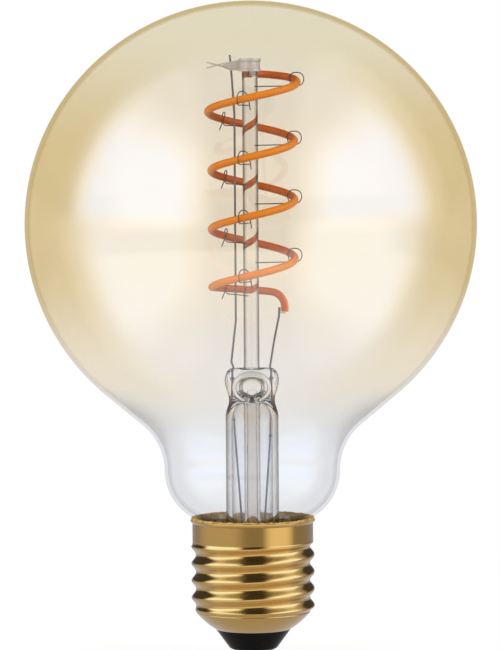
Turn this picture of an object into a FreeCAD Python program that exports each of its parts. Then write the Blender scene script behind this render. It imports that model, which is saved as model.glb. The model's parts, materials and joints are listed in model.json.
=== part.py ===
import FreeCAD, Part
import math
import os

from FreeCAD import Matrix, Placement, Rotation, Vector

# A globe filament lamp on a screw cap, in millimetres.
# The origin is the foot of the centre contact, on the lamp's axis, and +Z points to the globe.
# +X is to the viewer's right and +Y is away from the viewer.

# Screw cap
thread_crest_radius = 13.1
thread_depth = 0.95
thread_pitch = 3.63
thread_length = 15.1
thread_runout = 1.2
thread_start_angle = 231.0
shell_sheet = 0.3
shell_foot_radius = 8.0
shell_shoulder_height = 3.65
shell_shoulder_bulge = 0.25
band_radius = 12.85
band_height = 3.9
rim_flare = 0.5
rim_height = 0.8

# Insulator and centre contact
insulator_foot_radius = 4.9
insulator_cone_height = 4.25
insulator_edge_round = 1.0
insulator_overlap = 2.2
contact_plate_radius = 4.3
contact_plate_thickness = 0.6
nail_head_radius = 2.6
nail_head_height = 0.9
nail_head_round = 0.35
nail_shank_radius = 1.0
nail_shank_length = 4.6

# Globe
globe_width = 95.5
globe_height = 94.2
globe_wall = 0.7
cone_slope = 50.0
neck_radius = 18.6
neck_over_rim = 10.35
neck_fillet = 12.7
shoulder_round = 11.4
throat_clearance = 0.65
throat_round = 1.2

# Cement that holds the glass in the cap
cement_height = 2.6
cement_below_rim = 4.6

# Glass stem
stem_radius = 5.6
stem_wall = 1.2
stem_tube_length = 31.6
press_height = 10.0
press_waist_width = 9.7
press_waist_thickness = 5.8
press_width = 11.5
press_thickness = 4.6
press_waist_level = 0.34
press_widest_level = 0.78
press_edge_round = 1.2
hollow_head_level = 0.2
blow_hole_width = 3.8
blow_hole_height = 2.8
exhaust_radius = 1.7
exhaust_wall = 0.6
exhaust_seat = 4.7
exhaust_tip_below_seal = 5.4
rod_radius = 1.65
rod_length = 66.2
rod_seat = 1.2

# Lead wires
lead_radius = 0.22
lead_offset = 3.9
lead_bend = 0.8
lead_grip = 2.3
long_lead_kink = 0.4
long_lead_kink_rise = 1.2
long_lead_offset = 3.3
long_lead_lean_in = 10.0
long_lead_lean_out = 9.0
long_lead_pinch_offset = 4.0
long_lead_over_collar = 0.8
short_lead_lean = 0.9
short_lead_lean_rise = 5.5
stem_lead_offset = 2.2
stem_lead_gather = 23.0
weld_bead_radius = 0.42
dumet_length_long = 8.6
dumet_length_short = 12.2

# Filament coil
filament_radius = 0.8
coil_radius = 8.8
coil_offset = 0.5
top_turn_growth = 0.6
coil_pitch = 12.4
coil_top_below_rod_top = 4.7
lead_in_angle = 15.0
lead_in_reach = 4.15
lead_in_sweep = 135.0
coil_end_angle = -1374.0
flat_turn_angle = -1250.0
flat_turn_pitch = 4.5
tail_bend = 3.4
tail_length = 0.8
tab_thickness = 0.2
tab_width = 1.0
tab_height = 0.9
tab_gap = 0.05

# Support wires
support_wire_radius = 0.11
support_wires_per_turn = (12.0, -103.0, -230.0)
supported_turns = 4
hook_reach = 1.75
hook_rise = 1.6
hook_turn = 25.0
hook_seat_gap = 0.3
hook_seat_in_rod = 1.0
hook_tail_drop = 3.8
hook_tail_outward = 1.3
hook_tail_backward = 0.9

# Collar that ties the long lead and the filament to the rod's head
collar_height = 2.7
collar_wall = 0.5
collar_bead = 0.2
collar_bead_height = 0.5
collar_over_rod = 0.3
collar_strip = 0.15
collar_strip_root_height = 2.3
collar_strip_tip_height = 0.3
collar_strip_reach = 9.1
collar_pinch_reach = 5.7
collar_tip_spread = 1.2

# Driver in the cap
parts_over_insulator = 1.45
board_thickness = 1.0
board_clearance = 2.3
board_below_seal = 2.8
board_hole_clearance = 0.6
capacitor_radius = 3.15
capacitor_length = 8.0
capacitor_bead = 0.25
capacitor_groove = 1.2
capacitor_leg_spacing = 2.5
component_gap = 0.2
rectifier_length = 4.7
rectifier_width = 3.9
rectifier_height = 1.6
chip_length = 4.9
chip_width = 3.9
chip_height = 1.5
component_edge = 0.3
component_offset_x = 3.4
component_offset_y = 5.0
pin_width = 0.4
pin_thickness = 0.2
pin_reach = 0.9
resistor_radius = 1.2
resistor_length = 5.0
resistor_waist = 0.15
resistor_drop = 1.0
resistor_offset = 6.9
component_lead_radius = 0.25
lead_hole_offset = 5.5
lead_stub = 0.8
neutral_wire_radius = 0.2
neutral_wire_angle = 70.0
neutral_wire_board_offset = 1.3
sleeve_clearance = 0.1

# Heights that follow from the sizes above
plate_foot = nail_head_height
insulator_foot = plate_foot + contact_plate_thickness
shell_foot = insulator_foot + insulator_cone_height
thread_foot = shell_foot + shell_shoulder_height
thread_top = thread_foot + thread_length
rim_foot = thread_top + band_height
rim_top = rim_foot + rim_height
insulator_top = shell_foot + insulator_overlap
nail_top = plate_foot + nail_shank_length
board_foot = insulator_top + parts_over_insulator + 2 * capacitor_radius + component_gap
board_top = board_foot + board_thickness
seal_foot = board_top + board_below_seal
stem_flare_top = seal_foot + stem_wall
press_foot = seal_foot + stem_tube_length
press_top = press_foot + press_height
rod_foot = press_top - rod_seat
rod_top = rod_foot + rod_length
coil_top = rod_top - coil_top_below_rod_top
collar_top = rod_top + collar_over_rod
collar_foot = collar_top - collar_height
exhaust_top = press_foot + exhaust_seat
exhaust_tip = seal_foot - exhaust_tip_below_seal
lead_weld = press_top - lead_grip
resistor_foot = board_foot - resistor_drop - resistor_length
live_wire_level = (resistor_foot + insulator_top) / 2

# Radii that follow from the sizes above
thread_root_radius = thread_crest_radius - thread_depth
thread_mean_radius = thread_crest_radius - thread_depth / 2
shell_clear_radius = thread_root_radius - shell_sheet
throat_radius = shell_clear_radius - throat_clearance
throat_bore = throat_radius - globe_wall
stem_bore = stem_radius - stem_wall
exhaust_bore = exhaust_radius - exhaust_wall
collar_radius = rod_radius + collar_wall
board_radius = shell_clear_radius - board_clearance

UP = Vector(0, 0, 1)
CENTRE = Vector(0, 0, 0)

# How finely the curved sheets and the coil are drawn
thread_cuts_per_turn = 14
coil_points_per_turn = 18
lead_in_points = 7


# Drawing in the half plane of radius and height
def at(point):
    """The place of a (radius, height) pair in the X-Z plane."""
    radius, height = point
    return Vector(radius, 0, height)


def polyline(points):
    return [Part.makeLine(at(a), at(b)) for a, b in zip(points, points[1:])]


def arc_about(centre, radius, start, end):
    """A round stretch about a centre, from one angle to another, in degrees above +X."""
    def spot(angle):
        turn = math.radians(angle)
        return at((centre[0] + radius * math.cos(turn), centre[1] + radius * math.sin(turn)))
    return Part.Arc(spot(start), spot((start + end) / 2), spot(end)).toShape()


def bulged(start, end, bulge):
    """An arc between two points that stands off their chord, to the right of the way it runs."""
    chord = at(end) - at(start)
    middle = (at(start) + at(end)) * 0.5
    side = Vector(-chord.z, 0, chord.x).normalize()
    return Part.Arc(at(start), middle - side * bulge, at(end)).toShape()


def turned(edges):
    """The solid that a closed outline makes when it is turned about the axis."""
    return Part.Face(Part.Wire(Part.sortEdges(edges)[0])).revolve(CENTRE, UP, 360)


def turned_shape(points):
    return turned(polyline(points + points[:1]))


def cylinder(radius, foot, top, x=0.0, y=0.0):
    return Part.makeCylinder(radius, top - foot, Vector(x, y, foot))


def tube(outer, inner, foot, top):
    return cylinder(outer, foot, top).cut(cylinder(inner, foot, top))


def with_holes(solid, others):
    """The solid with room made in it for each of the others."""
    for other in others:
        solid = solid.cut(other)
    return solid


# Wires
def round_section(start, direction, radius):
    return Part.Face(Part.Wire(Part.makeCircle(radius, start, direction)))


def bent_wire(points, radius, bend):
    """A round wire along straight runs, each corner bent to an arc that its runs have room for."""
    corners = [Vector(*point) for point in points]
    edges = []
    start = corners[0]
    for before, corner, after in zip(corners, corners[1:], corners[2:]):
        back = (before - corner).normalize()
        ahead = (after - corner).normalize()
        half_turn = (math.pi - back.getAngle(ahead)) / 2
        shorter_run = min(before.distanceToPoint(corner), after.distanceToPoint(corner))
        reach = min(bend * math.tan(half_turn), 0.48 * shorter_run)
        arc_radius = reach / math.tan(half_turn)
        inside = (back + ahead).normalize()
        middle = corner + inside * (arc_radius / math.cos(half_turn) - arc_radius)
        arc_start = corner + back * reach
        arc_end = corner + ahead * reach
        edges.append(Part.makeLine(start, arc_start))
        edges.append(Part.Arc(arc_start, middle, arc_end).toShape())
        start = arc_end
    edges.append(Part.makeLine(start, corners[-1]))
    section = round_section(corners[0], corners[1] - corners[0], radius)
    return Part.Wire(edges).makePipe(section)


def bead(point, radius):
    """The small ball where two wires are welded end to end."""
    return Part.makeSphere(radius, Vector(*point))


# Screw shell: a rolled sheet. A level cut through its thread is a circle set off the axis by
# half the depth of the thread, and the side that it is set off to turns once in each pitch.
def thread_zone(inset):
    wires = []
    steps = int(math.ceil(thread_length / thread_pitch * thread_cuts_per_turn))
    for step in range(steps + 1):
        height = thread_length * step / steps
        rise = min(height, thread_length - height) / thread_runout
        strength = 1.0 if rise >= 1 else rise * rise * (3 - 2 * rise)
        end_radius = thread_root_radius if height < thread_length / 2 else band_radius
        radius = end_radius + (thread_mean_radius - end_radius) * strength - inset
        offset = strength * thread_depth / 2
        side = 2 * math.pi * height / thread_pitch + math.radians(thread_start_angle)
        centre = Vector(offset * math.cos(side), offset * math.sin(side), thread_foot + height)
        wires.append(Part.Wire(Part.makeCircle(radius, centre, UP)))
    return Part.makeLoft(wires, True, False, False, 3)


def shell_core(inset):
    """The whole shell as a filled body, drawn in by the given share of the sheet."""
    foot = (shell_foot_radius, shell_foot)
    head = (thread_root_radius, thread_foot)
    run = (at(foot) - at(head)).normalize()
    into = Vector(-run.z, 0, run.x).normalize() * -inset
    inner_foot = (foot[0] + into.x, foot[1] + into.z)
    inner_head = (head[0] - inset, head[1])
    shoulder_side = [bulged(inner_foot, inner_head, shell_shoulder_bulge)]
    below = shell_foot - 1.0 if inset else shell_foot
    above = rim_top + 1.0 if inset else rim_top
    lip = polyline([inner_foot, foot, (foot[0], below)]) if inset else []
    shoulder = turned(shoulder_side + lip + polyline(
        [(foot[0], below), (0, below), (0, thread_foot), inner_head]))
    band_inner = band_radius - inset
    flare_inner = band_radius + rim_flare - inset
    mouth = polyline([(flare_inner, rim_top), (flare_inner, above)]) if inset else []
    band = turned(polyline([(0, above), (0, thread_top), (band_inner, thread_top), (band_inner, rim_foot)])
                  + [bulged((band_inner, rim_foot), (flare_inner, rim_top), rim_flare / 4)]
                  + mouth + polyline([(flare_inner, above), (0, above)]))
    return shoulder.multiFuse([thread_zone(inset), band])


def make_screw_shell():
    return shell_core(0.0).cut(shell_core(shell_sheet)).removeSplitter()


def make_insulator():
    edge = insulator_edge_round
    cone_run = shell_foot_radius - insulator_foot_radius
    slope = math.degrees(math.atan2(insulator_cone_height, cone_run))
    setback = edge * math.tan(math.radians(slope / 2))
    rounding_centre = (insulator_foot_radius - setback, insulator_foot + edge)
    cone = turned(
        polyline([(0, shell_foot), (0, insulator_foot), (rounding_centre[0], insulator_foot)])
        + [arc_about(rounding_centre, edge, -90, slope - 90)]
        + polyline([(rounding_centre[0] + edge * math.sin(math.radians(slope)),
                     rounding_centre[1] - edge * math.cos(math.radians(slope))),
                    (shell_foot_radius, shell_foot), (0, shell_foot)]))
    inside = shell_core(shell_sheet).common(
        cylinder(thread_root_radius, shell_foot, insulator_top))
    dish = turned_shape([(0, insulator_top), (0, insulator_top - insulator_overlap / 2),
                         (nail_shank_radius + 2, insulator_top - insulator_overlap / 2),
                         (thread_root_radius - 3, insulator_top)])
    bore = cylinder(nail_shank_radius, insulator_foot, insulator_top)
    return cone.fuse(inside).cut(dish).cut(bore).removeSplitter()


def make_contact_plate():
    plate = turned(polyline([(0, insulator_foot), (0, plate_foot),
                             (contact_plate_radius - contact_plate_thickness, plate_foot)])
                   + [arc_about((contact_plate_radius - contact_plate_thickness, insulator_foot),
                                contact_plate_thickness, -90, 0)]
                   + polyline([(contact_plate_radius, insulator_foot), (0, insulator_foot)]))
    return plate.cut(cylinder(nail_shank_radius, plate_foot, insulator_foot))


def make_contact_nail():
    round_start = nail_head_radius - nail_head_round
    head = turned(polyline([(0, nail_head_height), (0, 0), (round_start, 0)])
                  + [arc_about((round_start, nail_head_round), nail_head_round, -90, 0)]
                  + polyline([(nail_head_radius, nail_head_round),
                              (nail_head_radius, nail_head_height), (0, nail_head_height)]))
    return head.fuse(cylinder(nail_shank_radius, nail_head_height, nail_top)).removeSplitter()


# Globe: one blown bulb, from its crown down to the tube that is sealed to the stem
def bowl_and_cone(inset):
    """Where the bowl meets the cone and the cone meets the neck's curve, from the globe's centre."""
    half_width = globe_width / 2 - inset
    half_height = globe_height / 2 - inset
    slope = math.radians(cone_slope)
    meet = math.atan(half_height / half_width * math.tan(slope))
    bowl_foot = (half_width * math.cos(meet), -half_height * math.sin(meet))
    fillet = neck_fillet + inset
    neck = neck_radius - inset
    cone_length = (bowl_foot[0] + fillet * math.cos(slope) - neck - fillet) / math.sin(slope)
    cone_foot = (bowl_foot[0] - cone_length * math.sin(slope),
                 bowl_foot[1] - cone_length * math.cos(slope))
    return math.degrees(meet), bowl_foot, cone_foot, cone_foot[1] - fillet * math.sin(slope)


def globe_side(inset):
    """The glass surface as edges from the crown to the foot of the throat, and its two ends."""
    centre = rim_top + neck_over_rim - bowl_and_cone(0.0)[3]
    meet, bowl_foot, cone_foot, fillet_drop = bowl_and_cone(inset)
    half_width = globe_width / 2 - inset
    half_height = globe_height / 2 - inset
    squash = Matrix(1, 0, 0, 0, 0, 1, 0, 0, 0, 0, half_height / half_width, centre, 0, 0, 0, 1)
    bowl = arc_about((0, 0), half_width, 90, -meet).transformGeometry(squash)
    cone = polyline([(bowl_foot[0], centre + bowl_foot[1]), (cone_foot[0], centre + cone_foot[1])])
    fillet = neck_fillet + inset
    fillet_height = centre + fillet_drop
    neck = neck_radius - inset
    neck_curve = arc_about((neck + fillet, fillet_height), fillet, 180 - cone_slope, 180)

    shoulder = shoulder_round - inset
    throat = throat_radius - inset
    hollow = throat_round + inset
    shoulder_centre = neck - shoulder
    across = throat + hollow - shoulder_centre
    drop = math.sqrt((shoulder + hollow) ** 2 - across ** 2)
    turn = math.degrees(math.atan2(drop, across))
    shoulder_curve = arc_about((shoulder_centre, fillet_height), shoulder, 0, -turn)
    throat_head = fillet_height - drop
    throat_curve = arc_about((throat + hollow, throat_head), hollow, 180 - turn, 180)
    throat_line = polyline([(throat, throat_head), (throat, seal_foot)])
    edges = [bowl] + cone + [neck_curve, shoulder_curve, throat_curve] + throat_line
    return edges, (0, centre + half_height), (throat, seal_foot)


def make_globe_glass():
    outer_edges, outer_crown, outer_foot = globe_side(0.0)
    inner_edges, inner_crown, inner_foot = globe_side(globe_wall)
    ends = polyline([outer_foot, inner_foot]) + polyline([inner_crown, outer_crown])
    return turned(outer_edges + ends + inner_edges)


def make_cap_cement():
    foot = rim_top - cement_below_rim
    return tube(band_radius - shell_sheet, throat_radius, foot, foot + cement_height)


# Stem: a flared tube, pinched flat at its head round the lead wires
def oval(width, thickness, height):
    """A level ellipse with its long side along X."""
    if width >= thickness:
        return Part.Wire(Part.Ellipse(Vector(0, 0, height), width / 2, thickness / 2).toShape())
    shape = Part.Ellipse(Vector(0, 0, 0), thickness / 2, width / 2).toShape()
    shape.Placement = Placement(Vector(0, 0, height), Rotation(UP, 90))
    return Part.Wire(shape)


def press():
    """The pinched head: round at its foot, narrow at the waist, then wide and flat."""
    round_width = 2 * stem_radius
    waist = press_foot + press_height * press_waist_level
    widest = press_foot + press_height * press_widest_level
    middle = (waist + widest) / 2
    edge = press_top - press_edge_round
    return Part.makeLoft([
        oval(round_width, round_width, press_foot),
        oval((round_width * 2 + press_waist_width) / 3, (round_width * 2 + press_waist_thickness) / 3,
             press_foot * 2 / 3 + waist / 3),
        oval(press_waist_width, press_waist_thickness, waist),
        oval((press_waist_width + press_width) / 2, press_thickness, middle),
        oval(press_width, press_thickness, widest),
        oval(press_width - press_edge_round / 2, press_thickness - press_edge_round / 4, edge),
        oval(press_width - 2 * press_edge_round, press_thickness - press_edge_round, press_top)], True)


def hollow_head():
    """The closed end of the stem's hollow, drawn flat as the press is."""
    bore = 2 * stem_bore
    head = press_foot + press_height * hollow_head_level
    return Part.makeLoft([
        oval(bore, bore, press_foot - stem_wall),
        oval(bore - stem_wall, bore - 2 * stem_wall, press_foot),
        oval(bore - 2 * stem_wall, bore - 4 * stem_wall, head)], True)


def make_stem():
    flare_centre = (throat_bore, stem_flare_top + throat_bore - stem_radius)
    flare_round = throat_bore - stem_radius
    tube_foot = flare_centre[1]
    flare = turned([arc_about(flare_centre, flare_round, 180, 270),
                    arc_about(flare_centre, flare_round + stem_wall, 180, 270)]
                   + polyline([(stem_radius, tube_foot), (stem_bore, tube_foot)])
                   + polyline([(throat_bore, stem_flare_top), (throat_bore, seal_foot)]))
    barrel = cylinder(stem_radius, tube_foot, press_foot)
    hole_height = exhaust_top + blow_hole_height / 2 - exhaust_wall
    flatten = Matrix(1, 0, 0, 0, 0, 1, 0, 0,
                     0, 0, blow_hole_height / blow_hole_width, hole_height, 0, 0, 0, 1)
    blow_hole = Part.makeCylinder(blow_hole_width / 2, stem_radius, CENTRE, Vector(0, -1, 0))
    holes = [cylinder(stem_bore, tube_foot, press_foot - stem_wall),
             hollow_head(),
             blow_hole.transformGeometry(flatten),
             cylinder(exhaust_bore, exhaust_top, hole_height),
             cylinder(exhaust_radius, press_foot, exhaust_top),
             cylinder(rod_radius, rod_foot, press_top)]
    return with_holes(flare.multiFuse([barrel, press()]), holes).removeSplitter()


def make_exhaust_tube():
    tip_height = 2 * exhaust_radius
    outside = turned(polyline([(0, exhaust_top), (0, exhaust_tip)])
                     + [bulged((0, exhaust_tip), (exhaust_radius, exhaust_tip + tip_height),
                               exhaust_wall / 2)]
                     + polyline([(exhaust_radius, exhaust_tip + tip_height),
                                 (exhaust_radius, exhaust_top), (0, exhaust_top)]))
    return outside.cut(cylinder(exhaust_bore, exhaust_tip + tip_height, exhaust_top))


def make_support_rod():
    return cylinder(rod_radius, rod_foot, rod_top)


# Filament: a flexible strip in a phosphor sleeve, wound as a loose coil round the rod
def coil_direction(angle):
    turn = math.radians(angle)
    return Vector(math.cos(turn), math.sin(turn), 0)


def coil_level(angle):
    if angle >= flat_turn_angle:
        return coil_top + coil_pitch * angle / 360
    return coil_level(flat_turn_angle) + flat_turn_pitch * (angle - flat_turn_angle) / 360


def coil_radius_at(angle):
    """The upper half turn is wider, and narrows to the others over the next half turn."""
    share = min(max(2 + angle / 180, 0.0), 1.0)
    return coil_radius + top_turn_growth * share * share * (3 - 2 * share)


def coil_centre_at(angle):
    return Vector(coil_offset, 0, coil_level(angle))


def coil_point(angle):
    return coil_centre_at(angle) + coil_direction(angle) * coil_radius_at(angle)


def lead_in_point(sweep):
    """A point of the arc that brings the coil in to the collar, by how far it has swept."""
    radius = coil_radius_at(lead_in_angle)
    arc_radius = radius - lead_in_reach
    centre = coil_centre_at(lead_in_angle) + coil_direction(lead_in_angle) * lead_in_reach
    eased_sweep = sweep * (1 - sweep / (2 * lead_in_sweep))
    rise = coil_pitch / (2 * math.pi * radius) * arc_radius * math.radians(eased_sweep)
    return centre + coil_direction(lead_in_angle + sweep) * arc_radius + UP * rise


def tail_direction():
    """The level way in which the coil runs where its tail begins."""
    turn = math.radians(coil_end_angle)
    return Vector(math.sin(turn), -math.cos(turn), 0)


def tail_point(turn):
    """A point of the bend that points the filament's lower end down, by its turn in degrees."""
    swing = math.radians(turn)
    ahead = tail_direction() * (tail_bend * math.sin(swing))
    return coil_point(coil_end_angle) + ahead - UP * (tail_bend * (1 - math.cos(swing)))


def filament_end():
    return tail_point(90) - UP * tail_length


def make_filament():
    points = [lead_in_point(lead_in_sweep * (1 - step / lead_in_points)) for step in range(lead_in_points)]
    sweep = lead_in_angle - coil_end_angle
    steps = int(round(sweep / 360 * coil_points_per_turn))
    points += [coil_point(lead_in_angle - sweep * step / steps) for step in range(steps + 1)]
    points += [tail_point(turn) for turn in (30, 60, 90)]
    points += [tail_point(90) - UP * tail_length * share for share in (1 / 3, 2 / 3, 1)]
    curve = Part.BSplineCurve()
    curve.interpolate(points)
    heading = coil_direction(lead_in_angle + lead_in_sweep - 90)
    return Part.Wire(curve.toShape()).makePipe(round_section(points[0], heading, filament_radius))


def make_filament_top_tab(collar):
    """The metal end that runs from the coil's head to the side of the collar."""
    head = lead_in_point(lead_in_sweep)
    heading = lead_in_angle + lead_in_sweep + 90
    ahead = coil_direction(heading)
    reach = -(head.x * ahead.x + head.y * ahead.y)
    strip = Part.makeBox(reach, tab_thickness, tab_width,
                         Vector(0, -tab_thickness / 2, -tab_width / 2))
    strip.Placement = Placement(head, Rotation(UP, heading))
    return strip.cut(collar)


def make_filament_bottom_tab():
    """The metal end, folded back up beside the filament, that the short lead is welded to."""
    end = filament_end()
    inner = filament_radius + tab_gap
    outer = inner + tab_thickness
    half = tab_thickness / 2
    fold = 2 * tab_thickness
    profile = [(half, 0), (half, -fold), (-outer, -fold), (-outer, tab_height),
               (-inner, tab_height), (-inner, tab_thickness - fold),
               (-half, tab_thickness - fold), (-half, 0)]
    corners = [end + Vector(x, -tab_width / 2, z) for x, z in profile]
    face = Part.Face(Part.makePolygon(corners + corners[:1]))
    return face.extrude(Vector(0, tab_width, 0))


# Support wires: each is held in the rod, passes under the filament and hooks back over it
def make_support_wire(angle):
    point = coil_point(angle) if angle <= lead_in_angle else lead_in_point(angle - lead_in_angle)
    outward = coil_direction(angle)
    forward = Vector(outward.y, -outward.x, 0)
    turn = math.radians(hook_turn)
    across = (outward * math.cos(turn) + forward * math.sin(turn)) * hook_reach
    drop = filament_radius + support_wire_radius + hook_seat_gap
    low_corner = point + across - UP * drop
    high_corner = point + across + UP * hook_rise
    over_corner = point - across + UP * hook_rise
    tail = over_corner + outward * hook_tail_outward - forward * hook_tail_backward - UP * hook_tail_drop
    arm = Vector(low_corner.x, low_corner.y, 0).normalize()
    root = arm * (rod_radius - hook_seat_in_rod) + UP * (low_corner.z - support_wire_radius)
    corners = [root, low_corner, high_corner, over_corner, tail]
    return bent_wire(corners, support_wire_radius, hook_reach)


# Collar: a crimped band with two strips that pinch the long lead and cross beyond it
def make_rod_collar():
    bead_radius = collar_radius + collar_bead
    band = turned_shape([(rod_radius, collar_foot), (bead_radius, collar_foot),
                         (bead_radius, collar_foot + collar_bead_height),
                         (collar_radius, collar_foot + collar_bead_height + collar_bead),
                         (collar_radius, collar_top - collar_bead_height - collar_bead),
                         (bead_radius, collar_top - collar_bead_height),
                         (bead_radius, collar_top), (rod_radius, collar_top)])
    middle = (collar_foot + collar_top) / 2
    half_root = collar_strip_root_height / 2
    half_tip = collar_strip_tip_height / 2
    solid = band
    for side in (-1, 1):
        lean = side * collar_tip_spread / 2
        outline = [(-rod_radius - collar_wall / 2, middle - half_root),
                   (-rod_radius - collar_wall / 2, middle + half_root),
                   (-collar_pinch_reach, middle - lean / 2 + half_tip),
                   (-collar_strip_reach, middle + lean + half_tip),
                   (-collar_strip_reach, middle + lean - half_tip),
                   (-collar_pinch_reach, middle - lean / 2 - half_tip),
                   (-lead_offset - lead_radius, middle - half_root)]
        y = lead_radius if side > 0 else -lead_radius - collar_strip
        corners = [Vector(x, y, z) for x, z in outline]
        strip = Part.Face(Part.makePolygon(corners + corners[:1])).extrude(Vector(0, collar_strip, 0))
        solid = solid.fuse(strip)
    return solid.cut(cylinder(rod_radius, collar_foot, collar_top)).removeSplitter()


# Leads: nickel in the globe, dumet through the press, copper in the stem
def make_inner_lead_long():
    side = -lead_offset
    route = [(side, 0, lead_weld), (side, 0, press_top + lead_radius),
             (side - long_lead_kink, 0, press_top + long_lead_kink_rise),
             (-long_lead_offset, 0, press_top + long_lead_lean_in),
             (-long_lead_offset, 0, collar_foot - long_lead_lean_out),
             (-long_lead_pinch_offset, 0, (collar_foot + collar_top) / 2),
             (-long_lead_pinch_offset - lead_radius, 0, collar_top + long_lead_over_collar)]
    return bent_wire(route, lead_radius, lead_bend)


def make_inner_lead_short():
    end = filament_end()
    weld_side = end.x - filament_radius - tab_gap - tab_thickness - lead_radius
    route = [(lead_offset, 0, lead_weld), (lead_offset, 0, press_top + lead_radius),
             (lead_offset + short_lead_lean, end.y / 3, press_top + short_lead_lean_rise),
             (weld_side, end.y, end.z - tab_height), (weld_side, end.y, end.z + tab_height)]
    return bent_wire(route, lead_radius, lead_bend)


def make_outer_lead(side, length):
    top = lead_weld - length
    route = [(lead_offset, top), (lead_offset - lead_radius / 2, top - stem_wall),
             (stem_lead_offset, top - stem_lead_gather),
             (stem_lead_offset - lead_radius / 2, stem_flare_top + 2 * stem_wall),
             (lead_hole_offset, board_top + stem_wall), (lead_hole_offset, board_foot - lead_stub)]
    return bent_wire([(side * x, 0, z) for x, z in route], lead_radius, lead_bend)


# Driver in the cap
def chip_pin(x, y, side, level):
    """A pin that leaves the body's side, bends up and ends flat on the board."""
    step = pin_thickness
    outline = [(-step, level), (step, level), (step, board_foot), (pin_reach, board_foot),
               (pin_reach, board_foot - step), (2 * step, board_foot - step),
               (2 * step, level - step), (-step, level - step)]
    corners = [Vector(x - pin_width / 2, y + side * out, height) for out, height in outline]
    return Part.Face(Part.makePolygon(corners + corners[:1])).extrude(Vector(pin_width, 0, 0))


def chip_body(length, width, height, x, y):
    """A moulded body under the board, with two pins along each long side."""
    top = board_foot - pin_thickness
    middle = top - height / 2

    def outline(shrink, level):
        half_length = length / 2 - shrink
        half_width = width / 2 - shrink
        corners = [Vector(x + a * half_length, y + b * half_width, level)
                   for a, b in ((-1, -1), (1, -1), (1, 1), (-1, 1))]
        return Part.makePolygon(corners + corners[:1])

    upper = Part.makeLoft([outline(component_edge, top), outline(0, middle)], True, True)
    lower = Part.makeLoft([outline(0, middle), outline(component_edge, top - height)], True, True)
    pins = [chip_pin(x + a * length / 4, y + b * width / 2, b, middle) for a in (-1, 1) for b in (-1, 1)]
    return upper.multiFuse([lower] + pins).removeSplitter()


def make_driver_board():
    return tube(board_radius, exhaust_radius + board_hole_clearance, board_foot, board_top)


def make_smoothing_capacitor():
    """A rolled can on its side under the board, with both legs bent up to it."""
    height = board_foot - component_gap - capacitor_radius
    y = exhaust_radius + board_hole_clearance + capacitor_radius
    left = -capacitor_length / 2
    groove = capacitor_groove
    can = turned_shape([(0, 0), (capacitor_radius, 0), (capacitor_radius, groove),
                        (capacitor_radius - capacitor_bead, groove + capacitor_bead),
                        (capacitor_radius, groove + 2 * capacitor_bead),
                        (capacitor_radius, capacitor_length - capacitor_bead),
                        (capacitor_radius - capacitor_bead, capacitor_length), (0, capacitor_length)])
    can.Placement = Placement(Vector(left, y, height), Rotation(Vector(0, 1, 0), 90))
    legs = []
    for side in (-1, 1):
        leg_y = y + side * capacitor_leg_spacing / 2
        legs.append(bent_wire([(left, leg_y, height), (left - capacitor_groove, leg_y, height),
                               (left - capacitor_groove, leg_y, board_foot)],
                              component_lead_radius, lead_bend))
    return can.multiFuse(legs)


def make_fuse_resistor():
    """An upright body with thicker ends, hung from the board by its upper leg."""
    top = board_foot - resistor_drop
    foot = top - resistor_length
    end = resistor_length / 4
    slim = resistor_radius - resistor_waist
    body = turned_shape([(0, foot), (slim, foot), (resistor_radius, foot + resistor_waist),
                         (resistor_radius, foot + end), (slim, foot + end + resistor_waist),
                         (slim, top - end - resistor_waist), (resistor_radius, top - end),
                         (resistor_radius, top - resistor_waist), (slim, top), (0, top)])
    leg = cylinder(component_lead_radius, top, board_foot)
    solid = body.fuse(leg)
    solid.translate(Vector(-resistor_offset, 0, 0))
    return solid


def make_live_wire():
    route = [(-resistor_offset, 0, resistor_foot), (-resistor_offset, 0, live_wire_level),
             (0, 0, live_wire_level), (0, 0, nail_top)]
    return bent_wire(route, component_lead_radius, lead_bend)


def make_insulating_sleeve():
    return tube(nail_shank_radius - sleeve_clearance, component_lead_radius, nail_top,
                live_wire_level - lead_bend)


def make_neutral_wire():
    """It runs up between the glass and the shell and ends on the band, over the cement."""
    along_throat = (throat_radius + shell_clear_radius) / 2
    on_band = math.sqrt((band_radius - shell_sheet) ** 2 - neutral_wire_radius ** 2)
    at_board = board_radius - neutral_wire_board_offset
    end_level = rim_top - cement_below_rim + cement_height + 2 * neutral_wire_radius
    route = [(at_board, board_foot - lead_stub), (at_board, board_top + lead_bend),
             (along_throat, seal_foot - lead_bend), (along_throat, end_level), (on_band, end_level)]
    way = coil_direction(neutral_wire_angle)
    points = [(way.x * radius, way.y * radius, height) for radius, height in route]
    return bent_wire(points, neutral_wire_radius, lead_bend)


def make_leads():
    """Both sets of leads, with a bead of glass-sealed or bare weld at each joint."""
    leads = {}
    sets = (("long", -1, dumet_length_long, make_inner_lead_long()),
            ("short", 1, dumet_length_short, make_inner_lead_short()))
    for name, side, length, inner in sets:
        upper = bead((side * lead_offset, 0, lead_weld), weld_bead_radius)
        lower = bead((side * lead_offset, 0, lead_weld - length), weld_bead_radius)
        dumet = cylinder(lead_radius, lead_weld - length, lead_weld, side * lead_offset)
        leads["inner_lead_" + name] = inner.fuse(upper)
        leads["dumet_lead_" + name] = dumet.cut(upper).cut(lower)
        leads["outer_lead_" + name] = make_outer_lead(side, length).fuse(lower)
    return leads


def make_support_wires():
    wires = []
    for turn in range(supported_turns):
        wires += [make_support_wire(angle - 360 * turn) for angle in support_wires_per_turn]
    return {"support_wire_%02d" % number: wire for number, wire in enumerate(wires, 1)}


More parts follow.
